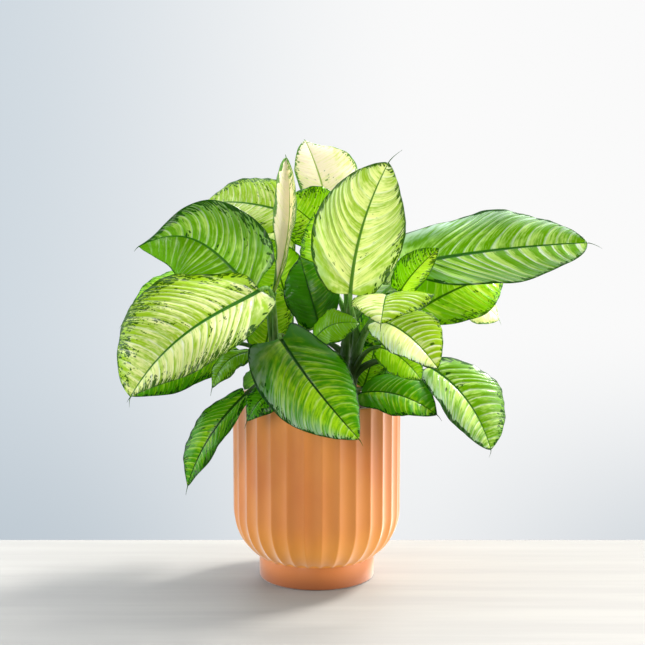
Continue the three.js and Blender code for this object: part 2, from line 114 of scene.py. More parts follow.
PAIRED = (
    "halves", "fold", "curl", "lobes", "peaks", "points", "shoulders",
    "pale", "flecks", "shade", "banding", "lines", "border", "bloom",
)


def grown(stem, height, colour, base, tip, face, halves, **habit):
    """All values of a blade, with a pair wherever one number stands for both."""
    own = dict(stem=stem, height=height, colour=colour, base=base, tip=tip, face=face, halves=halves)
    leaf = {**BLADE_DEFAULTS, **own, **habit}
    pairs = {key: (leaf[key], leaf[key]) for key in PAIRED if not isinstance(leaf[key], tuple)}
    return {**leaf, **pairs}


# Blades: cane, how far up it the stalk leaves, from 0 to 1, and colour; then base and tip of the midrib, the
# way the upper face looks, and the width of the left and right half as seen from above with the tip up.
LEAVES = {
    "left_large": grown(
        "left", 0.8, "light", (-64, -59, 351), (-205, -122, 239), (-0.3, -0.9, 0.38), (48, 77),
        arch=34, crest=1.3, peaks=(0.85, 0.95), points=(0.95, 0.4), lobes=(0.07, 0.05), pale=(0.68, 0.46),
        flecks=(0.3, 0.75), shade=(0, 0.05), banding=(0.8, 0.6), lines=(0.85, 0.55), border=(1, 3),
        bloom=(0.15, 0), lean=0.42, quilt=1.1, tail=10, hook=(3, 0, -4),
    ),
    "left_upper": grown(
        "left", 1, "mid", (-70, -12, 347), (-204, -36, 399), (-0.25, -0.95, 0.2), (59, 60),
        arch=18, sweep=29, crest=1.5, peaks=(1.05, 0.66), points=(0.65, 1.7), lobes=(0.05, 0.04),
        pale=(0.14, 0.4), flecks=(0.05, 0.4), shade=(0, 0.42), banding=(0.8, 0.9), lines=(0.4, 0.7),
        border=(2, 4), bloom=(0, 0.2), veins=16, lean=0.4, quilt=0.9,
    ),
    "left_under": grown("left", 0.5, "dark", (-98, -30, 285), (-210, -78, 232), (-0.1, -0.8, 0.6), (34, 44)),
    "left_behind": grown(
        "back_left", 0.7, "bright", (-98, 18, 354), (-226, -12, 308), (-0.2, -0.7, 0.7), (36, 40),
    ),
    "left_hanging": grown(
        "left", 0.3, "dark", (-80, -75, 234), (-146, -92, 131), (-0.5, -0.8, 0.35), (17, 28),
        peaks=(0.9, 1), pale=(0.2, 0.3), shade=(0.3, 0.2), tail=9,
    ),
    "left_small": grown(
        "left", 0.4, "mid", (-74, -60, 280), (-118, -82, 242), (-0.3, -0.6, 0.75), (20, 15),
        pale=0.1, flecks=0.1, shade=(0.2, 0), banding=0.2, lines=0.2, quilt=0.7,
    ),
    "upper_left": grown(
        "back_left", 1, "light", (-20, 28, 429), (-142, 88, 440), (-0.1, -0.75, 0.65), (42, 44),
        peaks=0.85, pale=(0.5, 0.3), flecks=(0.25, 0.45), shade=(0, 0.25), lines=(0.7, 0.5), border=(1, 3),
    ),
    "rolled": grown(
        "left", 1, "cream", (-50, -26, 344), (-35, -14, 500), (-0.1, -0.97, 0.1), (27, 16),
        fold=62, curl=10, arch=4, sweep=11, peaks=1.5, points=0.6, lobes=0, shoulders=0.7, wave=1,
        stalk_radii=(5.5, 4), pale=(0.95, 0.7), flecks=(0.02, 0.35), shade=0, lines=0.1, border=(3, 1),
        quilt=0.3,
    ),
    "top_back": grown(
        "back_right", 1, "cream", (18, 54, 414), (-14, 84, 519), (0.15, -0.9, 0.4), (28, 52),
        arch=16, wave=3, peaks=1.05, points=(0.6, 1), pale=0.8, flecks=(0.1, 0.16), shade=0, banding=0.3,
        lines=0.2, border=(1.8, 1.6), quilt=0.6,
    ),
    "upper_middle": grown(
        "back_right", 0.9, "bright", (14, 18, 403), (-42, 18, 451), (-0.1, -0.88, 0.45), (34, 44),
        pale=0.4, flecks=0.7, shade=0.1,
    ),
    "centre_sliver": grown(
        "back_right", 0.8, "bright", (34, -4, 350), (-2, -2, 434), (-0.2, -0.95, 0.2), 34,
    ),
    "centre": grown(
        "right", 1, "light", (39, -50, 345), (81, -63, 495), (-0.05, -0.98, 0.15), (55, 50),
        arch=6, sweep=-8, peaks=0.84, points=0.7, lobes=0.04, pale=(0.58, 0.64), flecks=(0.14, 0.2),
        shade=(0, 0.06), banding=(0.65, 0.5), lines=(0.75, 0.7), border=(2.4, 1.8), bloom=(0.3, 0.2),
        veins=11, lean=0.6, quilt=1.4, tail=14, hook=(9, 0, 2),
    ),
    "near": grown(
        "right", 0.9, "light", (81, -70, 345), (70, -150, 324), (0, -0.5, 0.87), (54, 38),
        arch=12, fold=(24, 6), pale=(0.22, 0.85), flecks=(0.2, 0.12), banding=(0.7, 0.8), lines=0.9,
        veins=12,
    ),
    "right_middle": grown(
        "right", 0.8, "light", (71, -62, 316), (134, -124, 271), (0.1, -0.75, 0.65), (39, 33),
        fold=22, pale=(0.3, 0.95), flecks=(0.15, 0.06), shade=(0.05, 0), banding=(0.9, 0.7),
        lines=(1.0, 0.9), bloom=(0, 0.9), veins=13,
    ),
    "right_low": grown(
        "right", 0.3, "mid", (130, -58, 262), (197, -96, 174), (0.32, -0.76, 0.56), (50, 33),
        arch=20, peaks=(1, 0.95), points=(0.6, 0.7), shoulders=0.5, lobes=(0.12, 0.08), pale=(0.3, 0.55),
        flecks=(0.3, 0.1), shade=(0.05, 0.12), banding=0.8, lines=(0.5, 0.6), border=(2, 3),
        bloom=(0.1, 0.7), veins=12, quilt=1.3, hook=(-4, 0, -3),
    ),
    "right_long": grown(
        "back_right", 0.7, "mid", (104, 14, 373), (316, -10, 401), (0, -0.78, 0.62), (57, 47),
        arch=8, wave=4, waves=2.2, peaks=(0.9, 1), points=(0.7, 0.5), lobes=(0.24, 0.03),
        shoulders=(0.42, 0.7), pale=(0.4, 0.32), flecks=(0.05, 0.1), shade=(0, 0.2), banding=(0.7, 2.2),
        lines=(0.6, 1.6), border=(2.5, 1.5), bloom=(0.8, 0.35), veins=12, lean=0.5, quilt=1.5, tail=12,
        hook=(6, 0, -7),
    ),
    "right_folded": grown(
        "right", 1, "bright", (97, -22, 344), (140, -42, 397), (-0.1, -0.9, 0.3), (22, 17),
        fold=(24, 30), pale=(0.15, 0.9), flecks=(0.4, 0.2), shade=(0.1, 0),
    ),
    "right_under": grown(
        "back_right", 0.5, "bright", (123, 20, 319), (227, 52, 357), (0.1, -0.8, 0.6), (48, 44),
        pale=(0.3, 0.45), flecks=0.3, shade=(0.05, 0), banding=(0.6, 0.7), lines=(0.6, 0.7), veins=12,
    ),
    "right_pale": grown(
        "back_right", 0.4, "cream", (150, 66, 332), (226, 84, 299), (0, -0.7, 0.7), (30, 32),
        flecks=0.1, shade=0, banding=0.3, lines=0.3,
    ),
    "middle_dark": grown(
        "front", 0.9, "dark", (3, -34, 308), (-19, -20, 384), (0, -0.99, 0.12), (30, 34),
        pale=(-0.1, 0.2), flecks=0.1, shade=(0.9, 0.5), lines=(0.1, 0.4),
    ),
    "middle_small": grown(
        "front", 0.6, "mid", (-2, -66, 295), (49, -72, 314), (0, -0.7, 0.7), (22, 24),
        pale=(0.05, 0.1), flecks=(0.05, 0.1), shade=0.1, banding=0.2, lines=0.15, quilt=0.5,
    ),
    "front": grown(
        "front", 0.8, "dark", (-40, -92, 300), (47, -134, 194), (0.1, -0.85, 0.5), (46, 55),
        arch=12, sweep=7, peaks=(0.84, 0.66), lobes=(0.14, 0.1), pale=(0.4, 0.56), flecks=(0.08, 0.14),
        shade=(0.72, 0), banding=(0.4, 0.5), lines=(0.6, 0.8), border=(2, 1.5), bloom=(0, 0.5), veins=13,
        lean=0.45, quilt=1.2,
    ),
    "rim_left": grown(
        "front", 0.2, "dark", (-36, -78, 240), (-77, -112, 210), (-0.2, -0.7, 0.7), (24, 18),
        pale=(0.1, 0.15), flecks=0.4, shade=(0.3, 0.2), banding=0.2, lines=0.2, quilt=0.7,
    ),
    "rim_right": grown(
        "right", 0.2, "dark", (50, -62, 232), (135, -102, 215), (0, -0.6, 0.8), (42, 30),
        pale=(0.2, 0.4), flecks=(0.1, 0.12), shade=(0.55, 0.2), lines=(0.6, 0.7), veins=12,
    ),
    "shade_right": grown(
        "right", 0.1, "dark", (56, 14, 226), (72, 22, 286), (0.1, -0.95, 0.3), (22, 20),
        lobes=0,
    ),
    "inner_dark": grown("right", 0.6, "dark", (52, -6, 288), (90, 14, 308), (0.1, -0.8, 0.6), 24, arch=6),
    "inner_bright": grown(
        "right", 0.3, "bright", (72, -66, 286), (118, -88, 252), (0.1, -0.85, 0.5), (24, 22),
        pale=0.3, flecks=0.08, lines=0.3, veins=13,
    ),
    "middle_bright": grown("back_left", 0.8, "bright", (-30, 24, 312), (-58, 30, 404), (0, -0.97, 0.2), 34),
    "middle_low": grown(
        "back_left", 0.3, "bright", (-62, 6, 272), (-48, 9, 352), (0.1, -0.98, 0.1), (32, 26),
    ),
    "far_centre": grown("back_right", 0.8, "light", (14, 84, 352), (4, 222, 322), (0, 0.2, 1), 50, arch=26),
    "far_left": grown(
        "back_left", 0.5, "mid", (-46, 72, 332), (-92, 186, 282), (-0.2, 0.5, 0.85), 46,
        arch=24,
    ),
    "far_right": grown(
        "back_right", 0.3, "mid", (62, 76, 332), (100, 196, 290), (0.2, 0.5, 0.85), 46,
        arch=24,
    ),
    "far_high": grown(
        "back_right", 1, "light", (36, 66, 404), (56, 176, 452), (0.1, -0.4, 0.9), 44,
        arch=22,
    ),
    "far_high_left": grown(
        "back_left", 0.9, "light", (-46, 66, 372), (-96, 168, 398), (-0.1, -0.3, 0.95), 42,
        arch=24,
    ),
    "far_rim_left": grown(
        "back_left", 0.2, "dark", (-44, 84, 250), (-76, 150, 172), (-0.3, 0.85, 0.45), 32,
        arch=12,
    ),
    "far_rim_right": grown(
        "back_right", 0.1, "dark", (42, 88, 256), (72, 156, 178), (0.3, 0.85, 0.45), 34,
        arch=12,
    ),
    "side_left": grown(
        "back_left", 0.6, "mid", (-78, 52, 338), (-182, 108, 352), (-0.3, 0, 0.95), 40,
        arch=20,
    ),
    "side_right": grown(
        "back_right", 0.6, "light", (92, 66, 344), (206, 132, 372), (0.2, 0, 0.95), 42,
        arch=20,
    ),
    "inner_back": grown(
        "back_right", 0.4, "mid", (-2, 54, 290), (-4, 60, 382), (0, -0.97, 0.2), (30, 24),
        arch=8,
    ),
}


def smooth(value, low, high):
    share = np.clip((value - low) / (high - low), 0, 1)
    return share * share * (3 - 2 * share)


def mixed(first, second, share):
    return first + (second - first) * share


def unit(vectors):
    return vectors / np.linalg.norm(vectors, axis=-1, keepdims=True)


def colour(code):
    """A display colour as linear red, green, blue and opacity."""
    channels = [((code >> shift) & 255) / 255 for shift in (16, 8, 0)]
    return tuple(c / 12.92 if c <= 0.04045 else ((c + 0.055) / 1.055) ** 2.4 for c in channels) + (1,)


class Graph:
    """The node tree of a material or a world, with short calls for the nodes that they share."""

    def __init__(self, owner):
        self.owner = owner
        owner.use_nodes = True
        self.tree = owner.node_tree
        self.tree.nodes.clear()

    def node(self, kind, inputs, **settings):
        made = self.tree.nodes.new(kind)
        for name, value in settings.items():
            setattr(made, name, value)
        for key, value in inputs.items():
            if isinstance(value, bpy.types.NodeSocket):
                self.tree.links.new(value, made.inputs[key])
            else:
                made.inputs[key].default_value = value
        return made

    def attribute(self, name):
        return self.node("ShaderNodeAttribute", {}, attribute_name=name).outputs["Vector"]

    def split(self, vector):
        return self.node("ShaderNodeSeparateXYZ", {0: vector}).outputs

    def math(self, operation, *values):
        return self.node("ShaderNodeMath", dict(enumerate(values)), operation=operation).outputs[0]

    def plus(self, first, second):
        return self.math("ADD", first, second)

    def minus(self, first, second):
        return self.math("SUBTRACT", first, second)

    def times(self, first, second):
        return self.math("MULTIPLY", first, second)

    def linear(self, value, slope, start):
        return self.math("MULTIPLY_ADD", value, slope, start)

    def swing(self, noise, amount):
        """A noise from 0 to 1 as one that runs from half the amount below nought to half above."""
        return self.linear(noise, amount, -amount / 2)

    def scaled(self, vector, scale):
        return self.node("ShaderNodeVectorMath", {0: vector, 1: scale}, operation="MULTIPLY").outputs[0]

    def ramp(self, value, low, high, start=0.0, end=1.0):
        inputs = {0: value, 1: low, 2: high, 3: start, 4: end}
        return self.node("ShaderNodeMapRange", inputs, interpolation_type="SMOOTHSTEP").outputs[0]

    def noise(self, vector, detail=2.0, roughness=0.5):
        inputs = {"Vector": vector, "Scale": 1.0, "Detail": detail, "Roughness": roughness}
        return self.node("ShaderNodeTexNoise", inputs).outputs[0]

    def pattern(self, vector, size, detail=2.0, layer=1):
        """Noise in blots of the given length and width. Another layer gives other blots."""
        return self.noise(self.scaled(vector, (1 / size[0], 1 / size[1], layer)), detail)

    def mix(self, share, first, second):
        return self.node("ShaderNodeMix", {0: share, 6: first, 7: second}, data_type="RGBA").outputs[2]

    def tones(self, noise, low, high, pair):
        """A colour that a noise takes from the first of a pair to the second."""
        return self.mix(self.ramp(noise, low, high), colour(pair[0]), colour(pair[1]))

    def bump(self, height, distance, strength):
        inputs = {"Height": height, "Distance": distance, "Strength": strength}
        return self.node("ShaderNodeBump", inputs).outputs["Normal"]

    def cells(self, vector):
        """Distance to the nearest of many scattered points, and two random numbers for each."""
        made = self.node("ShaderNodeTexVoronoi", {"Vector": vector, "Scale": 1.0}, voronoi_dimensions="2D")
        chance, size, _ = self.split(made.outputs["Color"])
        return made.outputs["Distance"], chance, size

    def shader(self, skin, roughness, specular, **others):
        inputs = {"Base Color": skin, "Roughness": roughness, "Specular IOR Level": specular}
        inputs.update({key.replace("_", " ").title(): value for key, value in others.items()})
        return self.node("ShaderNodeBsdfPrincipled", inputs).outputs[0]

    def seen_through(self, share, surface, light, normal):
        """A surface that lets a share of the light from behind it through, in the colour given."""
        through = self.node("ShaderNodeBsdfTranslucent", {"Color": light, "Normal": normal}).outputs[0]
        return self.node("ShaderNodeMixShader", {0: share, 1: surface, 2: through}).outputs[0]

    def finish(self, shader):
        world = isinstance(self.owner, bpy.types.World)
        self.node("ShaderNodeOutputWorld" if world else "ShaderNodeOutputMaterial", {"Surface": shader})
        return self.owner


# Patterns on a blade: how long their blots are along the veins, and how wide
CLOUDS = (26, 26)
PATCHES = (34, 14)
STREAKS = (18, 2.2)
MOTTLES = (6, 2.6)
FIBRES = (24, 0.8)
WANDERING = (16, 9)
SHEEN_BLOTS = (18, 18)
PORES = (1.6, 1.6)
FLECK_SIZES = ((5.0, 2.6), (2.8, 1.8))
PATCH_LAYER = 1.7

# How far the patterns carry the ground between green and pale, and how a vein's light band fades
PALE_SLOPE = 1.7
PALE_START = -0.45
CLOUD_SWING = 1.8
STREAK_SWING = 2.4
MOTTLE_SWING = 1.6
VEIN_SWING = 0.34
BAND_POWER = 1.6
BAND_SLOPE = 2.4
BAND_START = -0.9
MARGIN_POWER = 2.5
MARGIN_GREEN = 0.8

# Flecks: their spread in from the margin, the most that the margin has, and how their outlines waver
FLECK_ZONE = 40
FLECKS_AT_MARGIN = 0.78
FLECKS_IN_PATCH = 0.55
FLECK_WOBBLE = (5.0, 3.4, 0)
FLECK_DARKNESS = 0.96

LEAF_ROUGHNESS = (0.18, 0.34)
LEAF_SPECULAR = 0.12
LEAF_COAT = 0.22
LEAF_COAT_ROUGHNESS = 0.12
THROUGH_SHARE = 0.42
THROUGH_GAMMA = 0.84
GLOW_SHARE = 0.3
GLOW_LOSS = 0.28
# The most painted shade that darkens a blade
SHADE_LIMIT = 0.92
UNDER_SHARE = 0.55
# Colour of the painted sheen, a painted reflection that silvers a blade towards its margin
PAINTED_SHEEN_COLOUR = 0xDCECE8

# Colours of each kind of blade: body, pale ground, margin, veins, midrib, underside, and light let through
PALETTES = {
    "light": (0xA2C810, 0xF8F8B4, 0x1C5400, 0xFFFFF0, 0x247010, 0xB8DC70, 0xF0FC9C),
    "cream": (0xDCE888, 0xFAF0DC, 0x3C8410, 0xFFFCEC, 0x94B840, 0xF8ECD0, 0xFFF4DC),
    "bright": (0x8CCC00, 0xDCF83C, 0x2C6400, 0xF4FF88, 0x185C00, 0xA4D454, 0xD0FC08),
    "mid": (0x74AC00, 0xDCF484, 0x104C00, 0xFCFFF0, 0x205A1C, 0x8CC468, 0xB8FC00),
    "dark": (0x4CA000, 0xB8E81C, 0x083C00, 0xDCF880, 0x083000, 0x5C984C, 0xA4F000),
}


def leaf_material(name, body, pale, margin, vein, rib, under, glow):
    """A variegated blade: pale along the veins and towards the midrib, flecked and edged in dark green."""
    g = Graph(bpy.data.materials.new(name))
    place = g.attribute("place")
    phase, across, border = g.split(g.attribute("lines"))
    edge, rib_share, below = g.split(g.attribute("marks"))
    # tone holds how pale and how flecked each half is, and its painted shade
    paleness, fleckiness, shade = g.split(g.attribute("tone"))
    # habit holds how strongly bands and vein lines show, and how much painted sheen each half has
    banding, line_strength, bloom = g.split(g.attribute("habit"))
    cloud = g.pattern(place, CLOUDS, 2.5)
    patch = g.pattern(place, PATCHES, layer=PATCH_LAYER)
    streak = g.pattern(place, STREAKS, 3)
    fibre = g.pattern(place, FIBRES)

    # Pale ground: brightest on the near side of each vein, fading towards the next, and stronger inwards. The
    # fading band is partly pale variegation along the veins and partly painted light and shade, lighter where
    # the quilting between veins would face the light.
    between = g.math("FRACT", g.plus(phase, g.swing(g.pattern(place, WANDERING), VEIN_SWING)))
    fading = g.linear(g.math("POWER", g.minus(1.0, between), BAND_POWER), BAND_SLOPE, BAND_START)
    fading = g.times(fading, g.ramp(patch, 0.35, 0.65, 0.25, 0.9))
    ground = g.linear(paleness, PALE_SLOPE, PALE_START)
    ground = g.plus(ground, g.swing(cloud, CLOUD_SWING))
    ground = g.plus(ground, g.swing(streak, STREAK_SWING))
    ground = g.plus(ground, g.swing(g.pattern(place, MOTTLES), MOTTLE_SWING))
    ground = g.plus(ground, g.times(fading, banding))
    ground = g.minus(ground, g.times(g.math("POWER", across, MARGIN_POWER), MARGIN_GREEN))
    lamina = g.mix(g.ramp(ground, -0.25, 1.0), body, pale)
    # Painted sheen: towards the margin the blade is washed silvery, a painted reflection of bright light, as
    # far as each half asks
    painted_sheen_mask = g.times(g.ramp(across, 0.4, 1.0), g.ramp(streak, 0.38, 0.6, 0.1, 1.3))
    lamina = g.mix(g.times(bloom, painted_sheen_mask), lamina, colour(PAINTED_SHEEN_COLOUR))

    # Flecks drawn out along the veins, crowding towards the margin
    wobble = g.node("ShaderNodeTexNoise", {"Vector": place, "Scale": 0.3, "Detail": 2.0}).outputs["Color"]
    shift = {0: place, 1: g.scaled(wobble, FLECK_WOBBLE)}
    spread = g.node("ShaderNodeVectorMath", shift, operation="ADD").outputs[0]
    zone = g.times(g.ramp(cloud, 0.3, 0.7, 0.35, 1.7), g.linear(fleckiness, FLECK_ZONE, 1.0))
    crowding = g.ramp(g.math("DIVIDE", edge, zone), 0.1, 1.0, FLECKS_AT_MARGIN, 0.0)
    cluster = g.times(g.ramp(patch, 0.56, 0.68), g.times(fleckiness, FLECKS_IN_PATCH))
    density = g.math("MAXIMUM", crowding, cluster)
    masks = []
    for length, width in FLECK_SIZES:
        distance, chance, share = g.cells(g.scaled(spread, (1 / length, 1 / width, 1)))
        there = g.ramp(g.minus(density, chance), -0.02, 0.04)
        inside = g.ramp(g.minus(distance, g.linear(share, 0.34, 0.3)), -0.12, 0.0, 1.0, 0.0)
        masks.append(g.times(there, inside))
    ragged = g.times(border, g.ramp(patch, 0.35, 0.65, 0.3, 1.7))
    band = g.ramp(g.minus(edge, ragged), -0.6, 0.6, 1.0, 0.0)
    dark = g.math("MAXIMUM", g.math("MAXIMUM", *masks), band)
    lamina = g.mix(g.times(dark, FLECK_DARKNESS), lamina, margin)

    # Veins and midrib
    offset = g.minus(0.5, g.math("ABSOLUTE", g.minus(between, 0.5)))
    line = g.times(g.ramp(offset, 0.02, 0.14, 1.0, 0.0), g.ramp(across, 0.45, 0.95, 1.0, 0.15))
    line = g.times(g.times(line, line_strength), g.ramp(streak, 0.35, 0.6, 0.15, 1.1))
    lamina = g.mix(line, lamina, vein)
    lamina = g.mix(g.ramp(fibre, 0.5, 0.3, 0.0, 0.35), lamina, body)
    lamina = g.mix(g.ramp(rib_share, 0.8, 1.05, 1.0, 0.0), lamina, rib)
    # Painted shade: each leaf's shade darkens it towards its margin green, from base to tip, broken up by
    # clouds
    shading = g.times(shade, g.ramp(cloud, 0.3, 0.7, 1.0, 0.6))
    top = g.mix(g.math("MINIMUM", shading, SHADE_LIMIT), lamina, margin)
    skin = g.mix(g.times(below, UNDER_SHARE), top, under)

    height = g.plus(g.times(fibre, 0.6), g.times(g.pattern(place, PORES), 0.4))
    normal = g.bump(height, 0.0005, 0.5)
    gloss = g.ramp(g.pattern(place, SHEEN_BLOTS), 0.3, 0.7, *LEAF_ROUGHNESS)
    roughness = g.plus(gloss, g.times(below, 0.2))
    surface = g.shader(
        skin, roughness, LEAF_SPECULAR, normal=normal,
        coat_weight=LEAF_COAT, coat_roughness=LEAF_COAT_ROUGHNESS)
    shining = g.mix(g.linear(dark, -GLOW_LOSS, GLOW_SHARE), skin, glow)
    lit = g.node("ShaderNodeGamma", {0: shining, 1: THROUGH_GAMMA}).outputs[0]
    return g.finish(g.seen_through(THROUGH_SHARE, surface, lit, normal))


def leaf_materials():
    return {name: leaf_material("leaf_" + name, *map(colour, codes)) for name, codes in PALETTES.items()}


# Colours, and patterns by their blots in a metre along X, Y and Z. A band is full below its first height and
# gone above its second, in metres. Its share and colour follow.
STALK_GREENS = (0x5C9A30, 0x86B850)
STALK_PALE = 0xC4D890
# Stalk bands: painted shade darkens the canes and stalks below the leaves, where the crown shades them, and
# the canes are bark brown near the soil
STALK_BARK_AND_PAINTED_SHADE = ((0.25, 0.37, 0.94, 0x103000), (0.2, 0.225, 0.75, 0x5A4A28))
STALK_STREAKS = (420, 420, 60)
STALK_PATCHES = (90, 90, 45)
STALK_THROUGH = 0.2

CLAYS = (0xC87020, 0xD4842E)
CLAY_GRAIN = 0xBC7238
# Planter bands: the bowl low down is painted lighter and warmer, a painted glow of light bounced up from the
# floor; the foot has its own browner clay; and the foot is darker towards its base, painted shade where it
# meets the floor
CLAY_FOOT_AND_PAINTED_LIGHT = (
    (0.03, 0.09, 0.95, 0xFCA838), (0.0265, 0.0285, 1.0, 0xCA7630), (0, 0.024, 0.85, 0x964E1C),
)
CLAY_CLOUDS = (14, 14, 9)
CLAY_GRAINS = (1500, 1500, 1500)
CLAY_TURNING = (40, 40, 900)

PEATS = (0x1E140E, 0x5A4232)
PEAT_DAMP = 0x3A2A1E
PEAT_CRUMBS = (380, 380, 380)
PEAT_PATCHES = (60, 60, 60)

FLOOR_GREYS = (0x8C8A86, 0x94928D)
FLOOR_GRAIN = (1.6, 26, 26)


def by_place(name):
    """A material's graph, and the place on the object in metres."""
    g = Graph(bpy.data.materials.new(name))
    return g, g.node("ShaderNodeTexCoord", {}).outputs["Object"]


# Colour bands by height, which on the stalks and the planter include painted shade and a painted glow
def banded(g, spot, skin, bands):
    height = g.split(spot)[2]
    for low, high, share, code in bands:
        skin = g.mix(g.ramp(height, low, high, share, 0.0), skin, colour(code))
    return skin


def stem_material():
    g, spot = by_place("stem")
    streaks = g.noise(g.scaled(spot, STALK_STREAKS), 3)
    patches = g.noise(g.scaled(spot, STALK_PATCHES))
    skin = g.tones(streaks, 0.35, 0.65, STALK_GREENS)
    skin = g.mix(g.ramp(patches, 0.5, 0.8, 0.0, 0.6), skin, colour(STALK_PALE))
    skin = banded(g, spot, skin, STALK_BARK_AND_PAINTED_SHADE)
    normal = g.bump(streaks, 0.0005, 0.4)
    return g.finish(g.seen_through(STALK_THROUGH, g.shader(skin, 0.42, 0.25, normal=normal), skin, normal))


def terracotta_material():
    g, spot = by_place("terracotta")
    clouds = g.noise(g.scaled(spot, CLAY_CLOUDS), 3)
    grain = g.noise(g.scaled(spot, CLAY_GRAINS))
    turning = g.noise(g.scaled(spot, CLAY_TURNING))
    skin = g.tones(clouds, 0.3, 0.7, CLAYS)
    skin = g.mix(g.ramp(grain, 0.35, 0.7, 0.0, 0.2), skin, colour(CLAY_GRAIN))
    skin = banded(g, spot, skin, CLAY_FOOT_AND_PAINTED_LIGHT)
    normal = g.bump(g.plus(g.times(grain, 0.6), g.times(turning, 0.4)), 0.0003, 0.35)
    roughness = g.ramp(clouds, 0.3, 0.7, 0.5, 0.6)
    return g.finish(g.shader(
        skin, roughness, 0.5, normal=normal,
        coat_weight=0.35, coat_roughness=0.34, sheen_weight=0.8, sheen_roughness=0.4))


def soil_material():
    g, spot = by_place("soil")
    crumbs = g.noise(g.scaled(spot, PEAT_CRUMBS), 4, 0.65)
    patches = g.noise(g.scaled(spot, PEAT_PATCHES))
    skin = g.tones(crumbs, 0.35, 0.65, PEATS)
    skin = g.mix(g.ramp(patches, 0.5, 0.7, 0.0, 0.5), skin, colour(PEAT_DAMP))
    return g.finish(g.shader(skin, 0.92, 0.2, normal=g.bump(crumbs, 0.003, 0.9)))


def floor_material():
    g, spot = by_place("floor")
    grain = g.noise(g.scaled(spot, FLOOR_GRAIN), 4, 0.6)
    return g.finish(g.shader(g.tones(grain, 0.3, 0.7, FLOOR_GREYS), 0.6, 0.15))


def piece(name, points, faces, material, marks=None):
    """An object from points in millimetres, with its marks as vector attributes of its points."""
    mesh = bpy.data.meshes.new(name)
    mesh.from_pydata((points * METRES).tolist(), [], faces)
    mesh.shade_smooth()
    for mark, values in (marks or {}).items():
        attribute = mesh.attributes.new(mark, "FLOAT_VECTOR", "POINT")
        attribute.data.foreach_set("vector", values.astype(np.float32).ravel())
    mesh.materials.append(material)
    made = bpy.data.objects.new(name, mesh)
    bpy.context.scene.collection.objects.link(made)
    return made


def ring_faces(rings, sides, first=0):
    """Faces of a closed body through rings of points, with a cap at each end."""
    faces = []
    for ring in range(rings - 1):
        for side in range(sides):
            here = first + ring * sides + side
            beside = first + ring * sides + (side + 1) % sides
            faces.append((here, beside, beside + sides, here + sides))
    faces.append(tuple(first + side for side in reversed(range(sides))))
    faces.append(tuple(first + (rings - 1) * sides + side for side in range(sides)))
    return faces


def slab_faces(rows, columns):
    """Faces of a thin slab from two like grids of points, the upper one first, and of its edge."""
    cell = np.arange(rows * columns).reshape(rows, columns)
    top = np.stack([cell[:-1, :-1], cell[:-1, 1:], cell[1:, 1:], cell[1:, :-1]], -1).reshape(-1, 4)
    under = top[:, ::-1] + rows * columns
    outer = np.concatenate([cell[0, :-1], cell[:-1, -1], cell[-1, :0:-1], cell[:0:-1, 0]])
    after = np.roll(outer, -1)
    edge = np.stack([outer, outer + rows * columns, after + rows * columns, after], -1)
    return np.concatenate([top, under, edge]).tolist()


# Blades

def blade_axes(leaf):
    """Base, length, and unit axes along the midrib's chord, out of the upper face and to the right side."""
    base = np.array(leaf["base"], float)
    along = np.array(leaf["tip"], float) - base
    length = np.linalg.norm(along)
    along = along / length
    face = np.array(leaf["face"], float)
    face = unit(face - along * (face @ along))
    return base, length, along, face, np.cross(along, face)


def midrib_point(leaf, axes, u):
    base, length, along, face, right = axes
    crested = u ** leaf["crest"]
    bow = 4 * crested * (1 - crested)
    return (base + along * (length * u)[..., None]
            + face * (leaf["arch"] * bow)[..., None] + right * (leaf["sweep"] * bow)[..., None])


def midrib_direction(leaf, axes, u):
    _, length, along, face, right = axes
    slope = (4 * leaf["crest"] * u ** (leaf["crest"] - 1) * (1 - 2 * u ** leaf["crest"]))[..., None]
    return unit(along * length + face * leaf["arch"] * slope + right * leaf["sweep"] * slope)


def half_width(leaf, u, side):
    """Half width at u along the blade: round at the base, drawn in at the tip."""
    arc = np.maximum(np.sin(np.pi * u ** np.take(leaf["peaks"], side)), 0)
    power = mixed(np.take(leaf["shoulders"], side), np.take(leaf["points"], side), smooth(u, 0.5, 1))
    neck = NECK_HALF_WIDTH * (1 - u) ** NECK_FADE
    return np.take(leaf["halves"], side) * arc ** power + neck + TIP_HALF_WIDTH


def blade_point(leaf, axes, u, v):
    """A point of the middle surface: u runs from base to tip, v from the left margin to the right."""
    side = (v >= 0).astype(int)
    across = np.abs(v)
    direction = midrib_direction(leaf, axes, u)
    face = axes[3]
    normal = unit(face - direction * (direction @ face)[..., None])
    right = np.cross(direction, normal)

    half = half_width(leaf, u, side)
    fold = np.radians(np.take(leaf["fold"], side))
    curl = np.radians(np.take(leaf["curl"], side))
    reach = half * (np.sin(fold) - np.sin(fold - curl * across)) / curl
    rise = half * (np.cos(fold - curl * across) - np.cos(fold)) / curl
    ripple = (leaf["wave"] * across ** 2 * np.sqrt(np.maximum(np.sin(np.pi * u), 0))
              * np.sin(2 * np.pi * (leaf["waves"] * u + side * SIDE_PHASE)))
    behind = u / LOBE_PEAK
    lobe = np.take(leaf["lobes"], side) * axes[1] * across ** 2 * behind * np.exp(1 - behind)
    return (midrib_point(leaf, axes, u) + right * (np.where(side == 0, -reach, reach))[..., None]
            + normal * (rise + ripple)[..., None] - direction * lobe[..., None])


def blade_normal(leaf, axes, u, v):
    before = np.maximum(u - SLOPE_STEP, END_MARGIN)
    after = np.minimum(u + SLOPE_STEP, 1 - END_MARGIN)
    lengthwise = blade_point(leaf, axes, after, v) - blade_point(leaf, axes, before, v)
    left = np.maximum(v - SLOPE_STEP, -1)
    right = np.minimum(v + SLOPE_STEP, 1)
    return unit(np.cross(blade_point(leaf, axes, u, right) - blade_point(leaf, axes, u, left), lengthwise))


